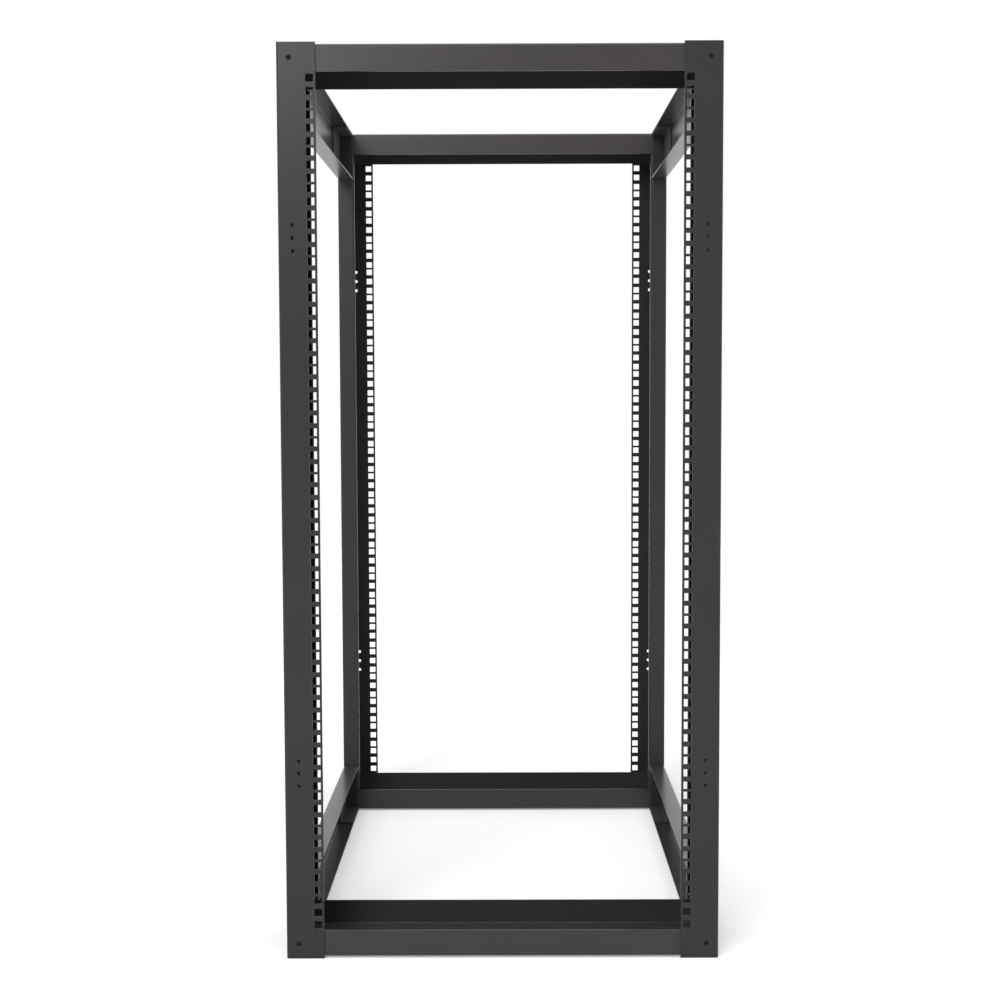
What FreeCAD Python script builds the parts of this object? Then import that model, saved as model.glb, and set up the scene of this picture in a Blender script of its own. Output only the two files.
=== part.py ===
import FreeCAD, Part
import os

# Four post open frame rack of folded sheet steel, in millimetres.
# Origin: bottom centre of the footprint. +X to the right, +Y to the back, +Z up.

Vector = FreeCAD.Vector

# ---------------------------------------------------------------- sizes
# Sheet metal
sheet = 2.0                   # thickness of every folded piece
bend_radius = 1.5             # inside radius of every fold

# Equipment space, to the 19 inch rack standard
units = 24
unit_pitch = 44.45
unit_margin = 36.8            # from the equipment space to each end of a post
first_hole = 6.35             # lowest square hole of a unit, above the unit's base
hole_spacing = 15.875         # between the three square holes of a unit
opening_width = 450.0         # clear width between the hole flanges
hole_column_inset = 7.55      # from a hole flange's edge to its column of holes
square_hole = 9.5

# Frame
frame_depth = 889.0
post_depth = 133.35
hole_flange_width = 48.0
lip_width = 27.0
lip_return = 8.0              # lip's edge, folded back into the post

# Rails
end_setback = 2.0             # rails stop this far inside the ends of the posts
cross_rail_height = 33.5
side_rail_height = 75.0
side_rail_width = 25.4

# Corner connectors, nested in the ends of the side rails
connector_length = 101.6
connector_edge_setback = 1.0  # connector's flanges stop inside the rail's edge

# Small round holes in the posts
accessory_hole = 5.0
accessory_inset = 17.5        # from a post's outer face
accessory_unit = 5            # unit with accessory holes, counted from each end
frame_screw_hole = 6.5
frame_screw_inset = 15.5      # from a post's outer face

# Clearances
nest_gap = 0.2                # between nested sheets
rail_end_gap = 0.3            # between a side rail's end and the post's lip
return_relief = 1.5           # between a cross rail and the lip's cut-back return

# ------------------------------------------------------- derived sizes
post_height = units * unit_pitch + 2 * unit_margin
half_width = opening_width / 2 + hole_flange_width
half_depth = frame_depth / 2
fold_outside = sheet + bend_radius
rail_low = end_setback
rail_high = post_height - end_setback
unit_rows = [first_hole + row * hole_spacing for row in range(3)]
square_hole_x = opening_width / 2 + hole_column_inset
accessory_x = half_width - accessory_inset
frame_screw_x = half_width - frame_screw_inset
lip_edge_x = half_width - lip_width
front_lip_face = -half_depth + post_depth  # inner side of the front posts' lips


# -------------------------------------------------------- sheet profiles
def offset_left(points, distance):
    """Corner points of an open path, moved to its left by a distance."""
    moved = []
    last = len(points) - 1
    for i, point in enumerate(points):
        before = (point - points[i - 1]).normalize() if i > 0 else None
        after = (points[i + 1] - point).normalize() if i < last else None
        first = before or after
        second = after or before
        left_first = Vector(-first.y, first.x, 0)
        left_second = Vector(-second.y, second.x, 0)
        bisector = left_first + left_second
        moved.append(point + bisector * (2 * distance / bisector.dot(bisector)))
    return moved


def rounded_path(points, radius):
    """Edges of an open path with right-angle corners rounded to a radius."""
    edges = []
    start = points[0]
    for i in range(1, len(points) - 1):
        corner = points[i]
        back = (points[i - 1] - corner).normalize()
        ahead = (points[i + 1] - corner).normalize()
        arc_start = corner + back * radius
        arc_end = corner + ahead * radius
        centre = corner + (back + ahead) * radius
        middle = centre - (back + ahead).normalize() * radius
        edges.append(Part.makeLine(start, arc_start))
        edges.append(Part.Arc(arc_start, middle, arc_end).toShape())
        start = arc_end
    edges.append(Part.makeLine(start, points[-1]))
    return edges


def folded_section(corners):
    """Face of a folded sheet. Its outside follows the corners, its inside lies left."""
    outside = [Vector(x, y, 0) for x, y in corners]
    inside = offset_left(outside, sheet)
    edges = rounded_path(outside, fold_outside)
    edges.append(Part.makeLine(outside[-1], inside[-1]))
    edges += rounded_path(inside[::-1], bend_radius)
    edges.append(Part.makeLine(inside[0], outside[0]))
    return Part.Face(Part.Wire(edges))


def plan_to_x(face):
    """Turn a section drawn as (y, z) so that it lies across the X axis."""
    face.rotate(Vector(0, 0, 0), Vector(1, 1, 1), 120)
    return face


def plan_to_y(face):
    """Turn a section drawn as (x, z) so that it lies across the Y axis."""
    face.rotate(Vector(0, 0, 0), Vector(1, 0, 0), 90)
    return face


def square_cutter(x, z):
    """Cutter for a square hole in a front hole flange, centred at (x, z)."""
    corner = Vector(x - square_hole / 2, -half_depth - sheet / 2, z - square_hole / 2)
    return Part.makeBox(square_hole, 2 * sheet, square_hole, corner)


def round_cutter(diameter, x, z):
    """Cutter for a round hole in a front hole flange, centred at (x, z)."""
    start = Vector(x, -half_depth - sheet / 2, z)
    return Part.makeCylinder(diameter / 2, 2 * sheet, start, Vector(0, 1, 0))


def mirrored(shape, across_x, across_y):
    """Copy of a front left piece, reflected to another corner of the frame."""
    copy = shape.copy()
    if across_x:
        copy = copy.mirror(Vector(0, 0, 0), Vector(1, 0, 0))
    if across_y:
        copy = copy.mirror(Vector(0, 0, 0), Vector(0, 1, 0))
    return copy


# ----------------------------------------------------------------- posts
def hole_heights(unit_numbers):
    """Centre heights of the three hole rows of each of the given units."""
    heights = []
    for unit in unit_numbers:
        base = unit_margin + unit * unit_pitch
        heights += [base + row for row in unit_rows]
    return heights


def frame_screw_heights():
    """Heights of the screws that hold the cross rails, at the rails' middles."""
    middle = cross_rail_height / 2
    return (rail_low + middle, rail_high - middle)


def return_cutters():
    """Cutters that take the lip's return away at both ends, where the cross rails run."""
    height = rail_low + cross_rail_height + return_relief
    width = fold_outside + sheet
    depth = lip_return + 2 * sheet
    corner = Vector(-lip_edge_x - fold_outside, front_lip_face + sheet - depth, 0)
    bottom = Part.makeBox(width, depth, height, corner)
    top = Part.makeBox(width, depth, height, corner + Vector(0, 0, post_height - height))
    return [bottom, top]


def front_left_post():
    """Upright channel: hole flange in front, web outside, lip with a return behind."""
    corners = [
        (-lip_edge_x, front_lip_face - lip_return),
        (-lip_edge_x, front_lip_face),
        (-half_width, front_lip_face),
        (-half_width, -half_depth),
        (-opening_width / 2, -half_depth),
    ]
    post = folded_section(corners).extrude(Vector(0, 0, post_height))
    accessory_units = (accessory_unit - 1, units - accessory_unit)
    cutters = [square_cutter(-square_hole_x, z) for z in hole_heights(range(units))]
    cutters += [round_cutter(accessory_hole, -accessory_x, z) for z in hole_heights(accessory_units)]
    cutters += [round_cutter(frame_screw_hole, -frame_screw_x, z) for z in frame_screw_heights()]
    cutters += return_cutters()
    return post.cut(Part.makeCompound(cutters))


# ----------------------------------------------------------- cross rails
def front_bottom_rail():
    """Tray-shaped channel across the front, open at the top, between the posts' folds."""
    front = -half_depth + sheet
    back = front_lip_face - sheet - nest_gap
    top = rail_low + cross_rail_height
    corners = [
        (front, top),
        (front, rail_low),
        (back, rail_low),
        (back, top),
    ]
    reach = half_width - sheet - bend_radius - nest_gap
    rail = plan_to_x(folded_section(corners)).extrude(Vector(2 * reach, 0, 0))
    rail.translate(Vector(-reach, 0, 0))
    return rail


# ------------------------------------------------------------ side rails
def left_bottom_side_rail():
    """Channel from the front post's lip to the rear post's lip, open to the inside."""
    top = rail_low + side_rail_height
    edge = -half_width + side_rail_width
    corners = [
        (edge, top),
        (-half_width, top),
        (-half_width, rail_low),
        (edge, rail_low),
    ]
    start = front_lip_face + rail_end_gap
    rail = plan_to_y(folded_section(corners)).extrude(Vector(0, -2 * start, 0))
    rail.translate(Vector(0, start, 0))
    return rail


# ------------------------------------------------------ corner connectors
def front_left_bottom_connector():
    """Short channel nested in the side rail, with its end welded to the post's lip."""
    wall = -half_width + sheet + nest_gap
    low = rail_low + sheet + nest_gap
    high = rail_low + side_rail_height - sheet - nest_gap
    edge = -half_width + side_rail_width - connector_edge_setback
    corners = [
        (edge, high),
        (wall, high),
        (wall, low),
        (edge, low),
    ]
    connector = plan_to_y(folded_section(corners)).extrude(Vector(0, connector_length, 0))
    connector.translate(Vector(0, front_lip_face, 0))
    return connector


def upside_down(shape):
    """Copy of a piece at the bottom of the frame, reflected to the top."""
    return shape.mirror(Vector(0, 0, post_height / 2), Vector(0, 0, 1))


# -------------------------------------------------------------- assembly
def build():
    """Every piece of the frame by name."""
    pieces = {}
    post = front_left_post()
    connector = front_left_bottom_connector()
    cross_rail = front_bottom_rail()
    side_rail = left_bottom_side_rail()
    ends = (("front", False), ("rear", True))
    sides = (("left", False), ("right", True))
    for end, at_rear in ends:
        for side, at_right in sides:
            pieces[end + "_" + side + "_post"] = mirrored(post, at_right, at_rear)
            low_connector = mirrored(connector, at_right, at_rear)
            pieces[end + "_" + side + "_bottom_connector"] = low_connector
            pieces[end + "_" + side + "_top_connector"] = upside_down(low_connector)
        low_rail = mirrored(cross_rail, False, at_rear)
        pieces[end + "_bottom_rail"] = low_rail
        pieces[end + "_top_rail"] = upside_down(low_rail)
    for side, at_right in sides:
        low_side_rail = mirrored(side_rail, at_right, False)
        pieces[side + "_bottom_side_rail"] = low_side_rail
        pieces[side + "_top_side_rail"] = upside_down(low_side_rail)
    return pieces


os.makedirs("parts", exist_ok=True)
for name, piece in build().items():
    solid = piece.Solids[0]
    solid.exportStep("parts/" + name + ".step")
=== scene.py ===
from collections import namedtuple
import math

import bmesh
import bpy
from bpy.props import FloatProperty, FloatVectorProperty, PointerProperty
from mathutils import Matrix, Vector


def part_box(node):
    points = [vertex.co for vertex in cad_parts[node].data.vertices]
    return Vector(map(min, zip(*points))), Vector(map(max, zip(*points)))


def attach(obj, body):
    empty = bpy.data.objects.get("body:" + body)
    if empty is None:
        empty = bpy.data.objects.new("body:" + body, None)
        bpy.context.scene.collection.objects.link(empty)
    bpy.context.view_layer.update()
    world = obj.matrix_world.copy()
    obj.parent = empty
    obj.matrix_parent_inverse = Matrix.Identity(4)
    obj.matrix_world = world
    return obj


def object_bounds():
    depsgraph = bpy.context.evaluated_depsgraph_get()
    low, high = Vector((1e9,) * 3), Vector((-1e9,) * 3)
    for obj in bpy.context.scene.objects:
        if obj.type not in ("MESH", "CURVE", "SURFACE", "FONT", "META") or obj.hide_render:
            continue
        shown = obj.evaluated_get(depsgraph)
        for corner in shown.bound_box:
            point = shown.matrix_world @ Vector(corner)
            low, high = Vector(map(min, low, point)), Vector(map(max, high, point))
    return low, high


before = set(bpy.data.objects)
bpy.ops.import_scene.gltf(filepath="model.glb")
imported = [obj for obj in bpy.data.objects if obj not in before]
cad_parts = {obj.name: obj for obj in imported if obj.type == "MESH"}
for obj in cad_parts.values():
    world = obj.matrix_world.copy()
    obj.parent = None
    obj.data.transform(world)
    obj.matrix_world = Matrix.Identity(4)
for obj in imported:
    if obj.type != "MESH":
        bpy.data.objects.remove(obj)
CAD_LOW, CAD_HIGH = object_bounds()

bl_info = {
    "name": "Four Post Open Frame Rack",
    "version": (1, 0, 0),
    "blender": (4, 5, 0),
    "location": "View3D > Sidebar > Open Rack",
    "description": "Powder coat, frame screws and studio for a four post open frame rack",
    "category": "Object",
}

# ------------------------------------------------------------- fixed values
# Lengths are in metres.

# Coat of each group: its name, share of the colour, added roughness and gloss. The share of the
# colour is painted light and shade on one coat: lighter on the cross rails and the connectors,
# whose insides lie in shade, and darker on the posts and the side rails.
Coat = namedtuple("Coat", "name shade added_roughness gloss")
POST_COAT = Coat("post_coat", 0.78, 0.0, 0.18)
CROSS_RAIL_COAT = Coat("cross_rail_coat", 1.12, 0.0, 0.18)
SIDE_RAIL_COAT = Coat("side_rail_coat", 0.7, 0.03, 0.62)
CONNECTOR_COAT = Coat("connector_coat", 1.35, 0.25, 0.12)

REFRACTIVE_INDEX = 1.5        # of the coat and of the screws' oxide
CLOUDS_PER_METRE = 14.0       # slow changes of tone in the coat
COLOUR_SWING = 0.1            # how far the clouds darken and lighten the colour
CLOUD_ROUGHNESS = 0.03        # most roughness that the clouds add
GRAIN_ROUGHNESS = 0.01        # most roughness that the grain adds
GRAIN_STRENGTH = 0.03
GRAIN_HEIGHT = 0.0002
EDGE_SAMPLES = 4              # rays that look for an edge to round

OXIDE_DARK = (0.010, 0.010, 0.011, 1.0)
OXIDE_LIGHT = (0.020, 0.019, 0.020, 1.0)
OXIDE_CLOUDS_PER_METRE = 900.0
OXIDE_ROUGHNESS = 0.6
OXIDE_CLOUD_ROUGHNESS = 0.15
OXIDE_GLOSS = 0.1
OXIDE_GRAIN_STRENGTH = 0.2
OXIDE_GRAIN_HEIGHT = 0.0001

SCREW_SIDES = 32              # flats of a screw head's outline
RIM_BEVEL = 0.0004            # rounding of a screw head's rim
RIM_SEGMENTS = 3
SOCKET_SHARE = 0.6            # depth of the socket, as a share of the head's length
SMOOTH_ANGLE = math.radians(35.0)
SAME_PLACE = 1e-6             # two lengths closer than this are the same

FLOOR_GAP = 0.0005            # between the floor and the rack's feet
FLOOR_ROUGHNESS = 0.9
FLOOR_CLOUDS_PER_METRE = 0.7
FLOOR_DARKEST = 0.99          # share of the floor's colour in its darkest clouds
FLOOR_GLOW = 0.2              # brightness that the floor shows by itself, at the rack
FLOOR_GLOW_GROWTH = 0.1       # what is added to it for each metre away
WHITE = (1.0, 1.0, 1.0, 1.0)

# Softboxes: name, the setting that holds the power, width, height and place.
Softbox = namedtuple("Softbox", "name power width height place")
SOFTBOXES = (
    Softbox("overhead_softbox", "overhead_power", 2.4, 2.4, Vector((0.0, -0.7, 3.4))),
    Softbox("front_softbox", "front_power", 2.1, 2.1, Vector((-1.5, -4.6, 2.8))),
    Softbox("left_softbox", "side_power", 1.2, 2.2, Vector((-2.8, -0.7, 1.2))),
    Softbox("right_softbox", "side_power", 1.2, 2.2, Vector((2.8, -0.7, 1.2))),
)


# ------------------------------------------------------------ shader maths
class Value:
    """A socket in a node tree. Arithmetic on it adds Math nodes."""

    def __init__(self, finish, socket):
        self.finish = finish
        self.socket = socket

    def _math(self, operation, first, second):
        return self.finish.node("ShaderNodeMath", {"operation": operation}, {0: first, 1: second})

    def __add__(self, other):
        return self._math("ADD", self, other)

    def __radd__(self, other):
        return self._math("ADD", other, self)

    def __mul__(self, other):
        return self._math("MULTIPLY", self, other)

    def __rmul__(self, other):
        return self._math("MULTIPLY", other, self)

    def at_least(self, other):
        return self._math("MAXIMUM", self, other)


class Finish:
    """A material or a world made of nodes."""

    def __init__(self, owner):
        owner.use_nodes = True
        self.tree = owner.node_tree
        self.tree.nodes.clear()

    def node(self, kind, settings=None, inputs=None, output=0):
        """Add a node: its settings first, then the values or links of its sockets.

        Gives back one of its outputs, or nothing where it has none.
        """
        made = self.tree.nodes.new(kind)
        for name, value in (settings or {}).items():
            setattr(made, name, value)
        for name, value in (inputs or {}).items():
            socket = made.inputs[name]
            if isinstance(value, Value):
                self.tree.links.new(value.socket, socket)
            else:
                socket.default_value = value
        return Value(self, made.outputs[output]) if len(made.outputs) else None

    def place(self):
        """A point's place on the rack, in metres."""
        return self.node("ShaderNodeTexCoord", output="Object")

    def seen(self):
        """1 for rays of the camera, and for those that a surface mirrors or lets through."""
        camera = self.node("ShaderNodeLightPath", output="Is Camera Ray")
        mirrored = self.node("ShaderNodeLightPath", output="Is Glossy Ray")
        clear = self.node("ShaderNodeLightPath", output="Is Transmission Ray")
        return camera.at_least(mirrored).at_least(clear)

    def noise(self, scale, detail=2.0, roughness=0.5):
        """Soft noise over the rack, from 0 to 1."""
        inputs = {"Vector": self.place(), "Scale": scale, "Detail": detail, "Roughness": roughness}
        return self.node("ShaderNodeTexNoise", None, inputs)

    def blend(self, amount, first, second):
        """A colour between two others."""
        inputs = {"Factor": amount, "A": first, "B": second}
        return self.node("ShaderNodeMix", {"data_type": "RGBA"}, inputs, output=2)


def opaque(colour, share=1.0):
    """A colour property as the four numbers of a colour socket."""
    return (colour[0] * share, colour[1] * share, colour[2] * share, 1.0)


# -------------------------------------------------------------- properties
class RackCoatSettings(bpy.types.PropertyGroup):
    """Powder coat of the folded sheet pieces"""

    colour: FloatVectorProperty(
        name="Colour", description="Colour of the coat in even light",
        subtype="COLOR", size=3, min=0.0, max=1.0, default=(0.039, 0.0345, 0.0395))
    roughness: FloatProperty(
        name="Roughness", description="Roughness of the coat, lower is glossier",
        subtype="FACTOR", min=0.0, max=1.0, default=0.25)
    grain: FloatProperty(
        name="Grain", description="Distance between the soft bumps of the coat",
        subtype="DISTANCE", unit="LENGTH", min=0.0001, max=0.01, default=0.0016)
    edge_radius: FloatProperty(
        name="Edge Radius", description="How far the coat rounds a cut edge",
        subtype="DISTANCE", unit="LENGTH", min=0.0, max=0.002, default=0.0006)


class RackScrewSettings(bpy.types.PropertyGroup):
    """Socket screws that hold the cross rails to the posts"""

    head_diameter: FloatProperty(
        name="Head Diameter", description="Diameter of a screw's head",
        subtype="DISTANCE", unit="LENGTH", min=0.002, max=0.0064, default=0.0062)
    recess: FloatProperty(
        name="Recess", description="Depth of the head below the face of the post",
        subtype="DISTANCE", unit="LENGTH", min=0.0, max=0.001, default=0.0004)
    socket_width: FloatProperty(
        name="Socket Width", description="Width across the flats of the hexagon socket",
        subtype="DISTANCE", unit="LENGTH", min=0.001, max=0.004, default=0.003)
    side_inset: FloatProperty(
        name="Side Inset", description="From a post's outer face to the middle of a screw",
        subtype="DISTANCE", unit="LENGTH", min=0.005, max=0.03, default=0.0155)
    hole_depth: FloatProperty(
        name="Hole Depth", description="Thickness of the sheet that the screw goes through",
        subtype="DISTANCE", unit="LENGTH", min=0.001, max=0.004, default=0.002)


class RackStudioSettings(bpy.types.PropertyGroup):
    """Floor, lamps and camera"""

    lens: FloatProperty(
        name="Lens", description="Focal length of the camera in millimetres",
        subtype="DISTANCE_CAMERA", min=20.0, max=200.0, default=61.68)
    camera_place: FloatVectorProperty(
        name="Camera Place", description="Where the camera stands",
        subtype="XYZ", unit="LENGTH", size=3, default=(0.0094, -2.5647, 0.7229))
    camera_turn: FloatVectorProperty(
        name="Camera Turn", description="How the camera is turned",
        subtype="EULER", unit="ROTATION", size=3,
        default=(math.radians(85.7793), math.radians(0.1641), math.radians(0.1354)))
    camera_shift: FloatVectorProperty(
        name="Camera Shift", description="Sideways and upward shift of the lens",
        size=2, default=(-0.0044, 0.0115))
    floor_colour: FloatVectorProperty(
        name="Floor Colour", description="Colour of the floor",
        subtype="COLOR", size=3, min=0.0, max=1.0, default=(0.93, 0.93, 0.93))
    floor_width: FloatProperty(
        name="Floor Width", description="Width of the square floor",
        subtype="DISTANCE", unit="LENGTH", min=2.0, max=60.0, default=10.0)
    room_light: FloatProperty(
        name="Room Light", description="Strength of the even light from all sides",
        min=0.0, max=2.0, default=0.36)
    overhead_power: FloatProperty(
        name="Overhead Power", description="Power of the softbox above the rack",
        subtype="POWER", unit="POWER", min=0.0, max=500.0, default=60.0)
    front_power: FloatProperty(
        name="Front Power",
        description="Power of the softbox high on the left in front of the rack",
        subtype="POWER", unit="POWER", min=0.0, max=500.0, default=122.0)
    side_power: FloatProperty(
        name="Side Power", description="Power of each tall softbox beside the rack",
        subtype="POWER", unit="POWER", min=0.0, max=500.0, default=18.0)


# ---------------------------------------------------------------- finishes
def powder_coat(settings, coat):
    """Semi-gloss powder coat with a fine soft grain and rounded cut edges."""
    material = bpy.data.materials.new(coat.name)
    finish = Finish(material)
    cloud = finish.noise(CLOUDS_PER_METRE, detail=3.0)
    grain = finish.noise(1.0 / settings.grain, detail=2.0, roughness=0.6)
    # The group's share lightens or darkens the whole coat, as painted light and shade; the clouds'
    # swing is tone that differs at random.
    dark = opaque(settings.colour, (1.0 - COLOUR_SWING) * coat.shade)
    light = opaque(settings.colour, (1.0 + COLOUR_SWING) * coat.shade)
    colour = finish.blend(cloud, dark, light)
    smoothest = (settings.roughness + coat.added_roughness
                 - (CLOUD_ROUGHNESS + GRAIN_ROUGHNESS) / 2)
    roughness = smoothest + CLOUD_ROUGHNESS * cloud + GRAIN_ROUGHNESS * grain
    edges = finish.node(
        "ShaderNodeBevel", {"samples": EDGE_SAMPLES}, {"Radius": settings.edge_radius})
    bumps = finish.node("ShaderNodeBump", None, {
        "Strength": GRAIN_STRENGTH, "Distance": GRAIN_HEIGHT, "Height": grain, "Normal": edges})
    shader = finish.node("ShaderNodeBsdfPrincipled", None, {
        "Base Color": colour, "Roughness": roughness, "Normal": bumps,
        "IOR": REFRACTIVE_INDEX, "Specular IOR Level": coat.gloss})
    finish.node("ShaderNodeOutputMaterial", None, {"Surface": shader})
    return material


def black_oxide():
    """Dull blackened steel of the screws, a little uneven."""
    material = bpy.data.materials.new("black_oxide_screw")
    finish = Finish(material)
    cloud = finish.noise(OXIDE_CLOUDS_PER_METRE, detail=3.0)
    colour = finish.blend(cloud, OXIDE_DARK, OXIDE_LIGHT)
    bumps = finish.node("ShaderNodeBump", None, {
        "Strength": OXIDE_GRAIN_STRENGTH, "Distance": OXIDE_GRAIN_HEIGHT, "Height": cloud})
    shader = finish.node("ShaderNodeBsdfPrincipled", None, {
        "Base Color": colour, "Roughness": OXIDE_ROUGHNESS + OXIDE_CLOUD_ROUGHNESS * cloud,
        "Normal": bumps, "IOR": REFRACTIVE_INDEX, "Specular IOR Level": OXIDE_GLOSS})
    finish.node("ShaderNodeOutputMaterial", None, {"Surface": shader})
    return material


def studio_floor(colour):
    """White floor that shows the rack's shadow and fades into the white backdrop."""
    material = bpy.data.materials.new("studio_floor")
    finish = Finish(material)
    distance = finish.node(
        "ShaderNodeVectorMath", {"operation": "LENGTH"}, {0: finish.place()}, output="Value")
    glow = (FLOOR_GLOW + FLOOR_GLOW_GROWTH * distance) * finish.seen()
    cloud = finish.noise(FLOOR_CLOUDS_PER_METRE)
    paint = finish.blend(cloud, opaque(colour, FLOOR_DARKEST), opaque(colour))
    shader = finish.node("ShaderNodeBsdfPrincipled", None, {
        "Base Color": paint, "Roughness": FLOOR_ROUGHNESS,
        "Emission Color": glow, "Emission Strength": 1.0})
    finish.node("ShaderNodeOutputMaterial", None, {"Surface": shader})
    return material


def coat_nodes(names, material):
    """Give one finish to several CAD nodes."""
    for name in names:
        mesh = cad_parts[name].data
        mesh.materials.clear()
        mesh.materials.append(material)


def nodes_ending(ending, but_not=None):
    """Names of the CAD nodes with an ending, without those that also have another."""
    names = [name for name in sorted(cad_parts)
             if name.endswith(ending) and not (but_not and name.endswith(but_not))]
    if not names:
        raise RuntimeError("no CAD node ends in " + ending)
    return names


# ------------------------------------------------------------ mesh helpers
def deselect_all():
    """Leave nothing selected, as a new piece is started."""
    if bpy.context.object and bpy.context.object.mode != "OBJECT":
        bpy.ops.object.mode_set(mode="OBJECT")
    bpy.ops.object.select_all(action="DESELECT")


def settle(piece):
    """Put a piece's place, turn and scale into its mesh."""
    deselect_all()
    piece.select_set(True)
    bpy.context.view_layer.objects.active = piece
    bpy.ops.object.transform_apply(location=True, rotation=True, scale=True)


# --------------------------------------------------------------- operators
class RACK_OT_coat_posts(bpy.types.Operator):
    """Powder coat the four posts"""
    bl_idname = "rack.coat_posts"
    bl_label = "Coat Posts"

    def execute(self, context):
        coat = powder_coat(context.scene.rack_coat, POST_COAT)
        coat_nodes(nodes_ending("_post"), coat)
        return {"FINISHED"}


class RACK_OT_coat_cross_rails(bpy.types.Operator):
    """Powder coat the front and rear rails"""
    bl_idname = "rack.coat_cross_rails"
    bl_label = "Coat Cross Rails"

    def execute(self, context):
        coat = powder_coat(context.scene.rack_coat, CROSS_RAIL_COAT)
        coat_nodes(nodes_ending("_rail", but_not="_side_rail"), coat)
        return {"FINISHED"}


class RACK_OT_coat_side_rails(bpy.types.Operator):
    """Powder coat the side rails"""
    bl_idname = "rack.coat_side_rails"
    bl_label = "Coat Side Rails"

    def execute(self, context):
        coat = powder_coat(context.scene.rack_coat, SIDE_RAIL_COAT)
        coat_nodes(nodes_ending("_side_rail"), coat)
        return {"FINISHED"}


class RACK_OT_coat_connectors(bpy.types.Operator):
    """Powder coat the corner connectors, a little duller than the rails and lighter, as painted
    light on their shaded insides
    """
    bl_idname = "rack.coat_connectors"
    bl_label = "Coat Corner Connectors"

    def execute(self, context):
        coat = powder_coat(context.scene.rack_coat, CONNECTOR_COAT)
        coat_nodes(nodes_ending("_connector"), coat)
        return {"FINISHED"}


class RACK_OT_frame_screws(bpy.types.Operator):
    """Set a socket screw in each end of the cross rails, sunk in the post's hole"""
    bl_idname = "rack.frame_screws"
    bl_label = "Set Frame Screws"

    def execute(self, context):
        settings = context.scene.rack_screws
        first = self.model_screw(settings)
        oxide = black_oxide()
        across = CAD_HIGH.x - settings.side_inset
        for end, turn in (("front", 0.0), ("rear", math.pi)):
            for level in ("bottom", "top"):
                rail_low, rail_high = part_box(end + "_" + level + "_rail")
                height = (rail_low.z + rail_high.z) / 2
                for side, reach in (("left", -across), ("right", across)):
                    name = end + "_" + side + "_" + level + "_frame_screw"
                    screw = bpy.data.objects.new(name, first.data.copy())
                    context.scene.collection.objects.link(screw)
                    facing = reach if end == "front" else -reach
                    place = Matrix.Translation((facing, CAD_LOW.y, height))
                    move = Matrix.Rotation(turn, 4, "Z") @ place
                    screw.data.transform(move)
                    screw.data.materials.append(oxide)
                    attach(screw, "root")
        bpy.data.objects.remove(first)
        return {"FINISHED"}

    def model_screw(self, settings):
        """One screw head facing -Y, with the face of its post in the XZ plane."""
        length = settings.hole_depth - settings.recess
        upright = (math.radians(90.0), 0.0, 0.0)
        deselect_all()
        bpy.ops.mesh.primitive_cylinder_add(
            vertices=SCREW_SIDES, radius=settings.head_diameter / 2, depth=length,
            location=(0.0, settings.recess + length / 2, 0.0), rotation=upright)
        head = bpy.context.object
        settle(head)
        bpy.ops.object.mode_set(mode="EDIT")
        bpy.ops.mesh.select_mode(type="EDGE")
        bpy.ops.mesh.select_all(action="DESELECT")
        shell = bmesh.from_edit_mesh(head.data)
        for edge in shell.edges:
            edge.select = all(
                abs(corner.co.y - settings.recess) < SAME_PLACE for corner in edge.verts)
        bmesh.update_edit_mesh(head.data)
        bpy.ops.mesh.bevel(offset=RIM_BEVEL, segments=RIM_SEGMENTS, affect="EDGES")
        bpy.ops.object.mode_set(mode="OBJECT")
        depth = SOCKET_SHARE * length
        deselect_all()
        bpy.ops.mesh.primitive_cylinder_add(
            vertices=6, radius=settings.socket_width / math.sqrt(3.0), depth=2 * depth,
            location=(0.0, settings.recess, 0.0), rotation=upright)
        socket = bpy.context.object
        settle(socket)
        deselect_all()
        bpy.context.view_layer.objects.active = head
        cut = head.modifiers.new("Hexagon Socket", "BOOLEAN")
        cut.operation = "DIFFERENCE"
        cut.solver = "EXACT"
        cut.object = socket
        head.select_set(True)
        bpy.ops.object.modifier_apply(modifier=cut.name)
        bpy.data.objects.remove(socket)
        bpy.ops.object.shade_smooth_by_angle(angle=SMOOTH_ANGLE)
        return head


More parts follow.
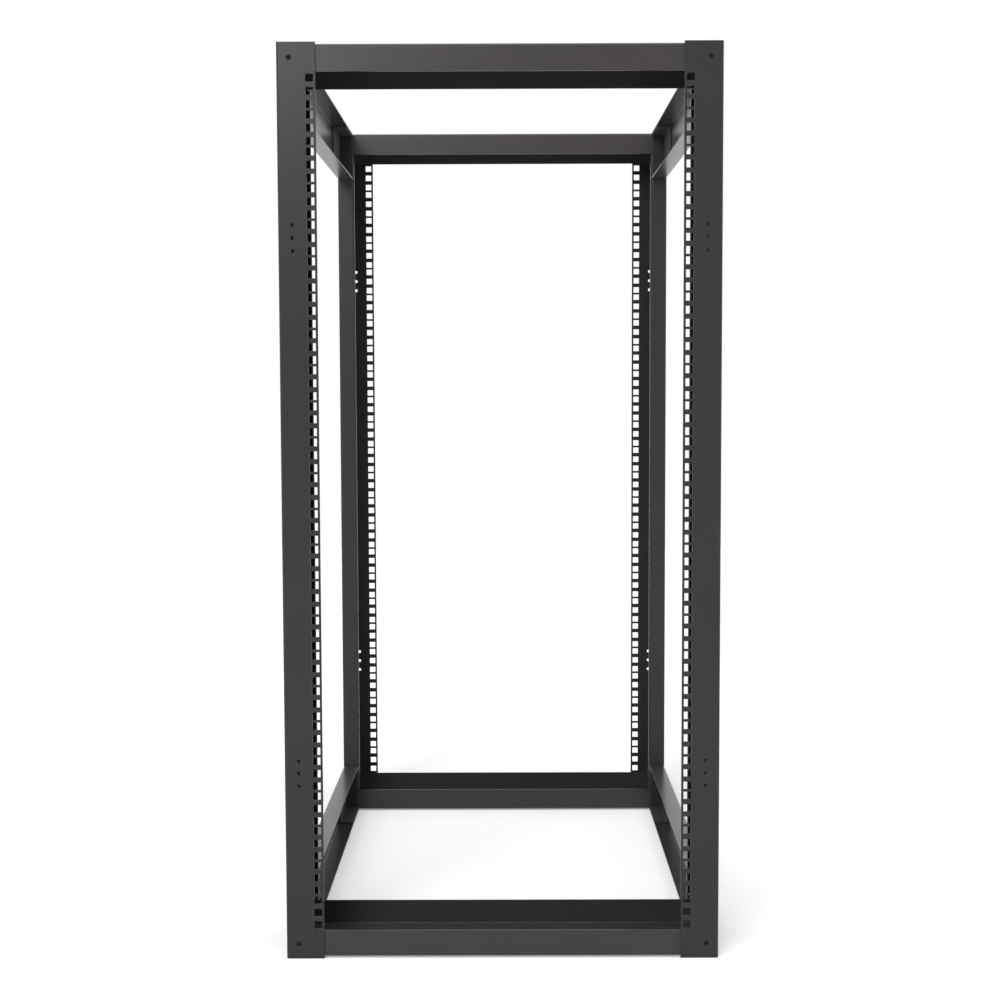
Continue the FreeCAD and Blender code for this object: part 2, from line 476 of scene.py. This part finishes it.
class RACK_OT_studio(bpy.types.Operator):
    """Lay the floor, hang the softboxes and set the camera"""
    bl_idname = "rack.studio"
    bl_label = "Set Up Studio"

    def execute(self, context):
        settings = context.scene.rack_studio
        self.lay_floor(settings)
        self.light_room(context, settings)
        self.hang_softboxes(context, settings)
        self.set_camera(context, settings)
        context.scene.view_settings.view_transform = "Standard"
        return {"FINISHED"}

    def lay_floor(self, settings):
        """White floor under the rack."""
        deselect_all()
        bpy.ops.mesh.primitive_plane_add(
            size=settings.floor_width, location=(0.0, 0.0, CAD_LOW.z - FLOOR_GAP))
        floor = bpy.context.object
        floor.name = "studio_floor"
        settle(floor)
        floor.data.materials.append(studio_floor(settings.floor_colour))

    def light_room(self, context, settings):
        """Even light from all sides, in front of a white backdrop."""
        world = bpy.data.worlds.new("studio_room")
        context.scene.world = world
        room = Finish(world)
        strength = settings.room_light + (1.0 - settings.room_light) * room.seen()
        light = room.node("ShaderNodeBackground", None, {
            "Color": WHITE, "Strength": strength})
        room.node("ShaderNodeOutputWorld", None, {"Surface": light})

    def hang_softboxes(self, context, settings):
        """Rectangular lamps that face the middle of the rack."""
        middle = (CAD_LOW + CAD_HIGH) / 2
        for box in SOFTBOXES:
            lamp = bpy.data.lights.new(box.name, "AREA")
            lamp.shape = "RECTANGLE"
            lamp.size = box.width
            lamp.size_y = box.height
            lamp.energy = getattr(settings, box.power)
            light = bpy.data.objects.new(box.name, lamp)
            context.scene.collection.objects.link(light)
            light.location = box.place
            light.visible_camera = False
            light.rotation_euler = (middle - box.place).to_track_quat("-Z", "Y").to_euler()

    def set_camera(self, context, settings):
        """Camera before the front of the rack."""
        lens = bpy.data.cameras.new("rack_camera")
        lens.lens = settings.lens
        lens.shift_x = settings.camera_shift[0]
        lens.shift_y = settings.camera_shift[1]
        camera = bpy.data.objects.new("rack_camera", lens)
        context.scene.collection.objects.link(camera)
        camera.location = settings.camera_place
        camera.rotation_euler = settings.camera_turn
        context.scene.camera = camera


class RACK_PT_panel(bpy.types.Panel):
    """Operators and settings of the rack"""
    bl_idname = "RACK_PT_panel"
    bl_label = "Open Frame Rack"
    bl_space_type = "VIEW_3D"
    bl_region_type = "UI"
    bl_category = "Open Rack"

    def draw(self, context):
        layout = self.layout
        scene = context.scene
        for group in (scene.rack_coat, scene.rack_screws, scene.rack_studio):
            box = layout.box()
            for name in group.__annotations__:
                box.prop(group, name)
        for operator in OPERATORS:
            layout.operator(operator.bl_idname)


SETTINGS = (
    ("rack_coat", RackCoatSettings),
    ("rack_screws", RackScrewSettings),
    ("rack_studio", RackStudioSettings),
)
OPERATORS = (
    RACK_OT_coat_posts,
    RACK_OT_coat_cross_rails,
    RACK_OT_coat_side_rails,
    RACK_OT_coat_connectors,
    RACK_OT_frame_screws,
    RACK_OT_studio,
)


def register():
    for name, group in SETTINGS:
        bpy.utils.register_class(group)
        setattr(bpy.types.Scene, name, PointerProperty(type=group))
    for operator in OPERATORS:
        bpy.utils.register_class(operator)
    bpy.utils.register_class(RACK_PT_panel)


def unregister():
    bpy.utils.unregister_class(RACK_PT_panel)
    for operator in reversed(OPERATORS):
        bpy.utils.unregister_class(operator)
    for name, group in reversed(SETTINGS):
        delattr(bpy.types.Scene, name)
        bpy.utils.unregister_class(group)


def main():
    register()
    bpy.ops.rack.coat_posts()
    bpy.ops.rack.coat_cross_rails()
    bpy.ops.rack.coat_side_rails()
    bpy.ops.rack.coat_connectors()
    bpy.ops.rack.frame_screws()
    bpy.ops.rack.studio()


if __name__ == "__main__":
    main()
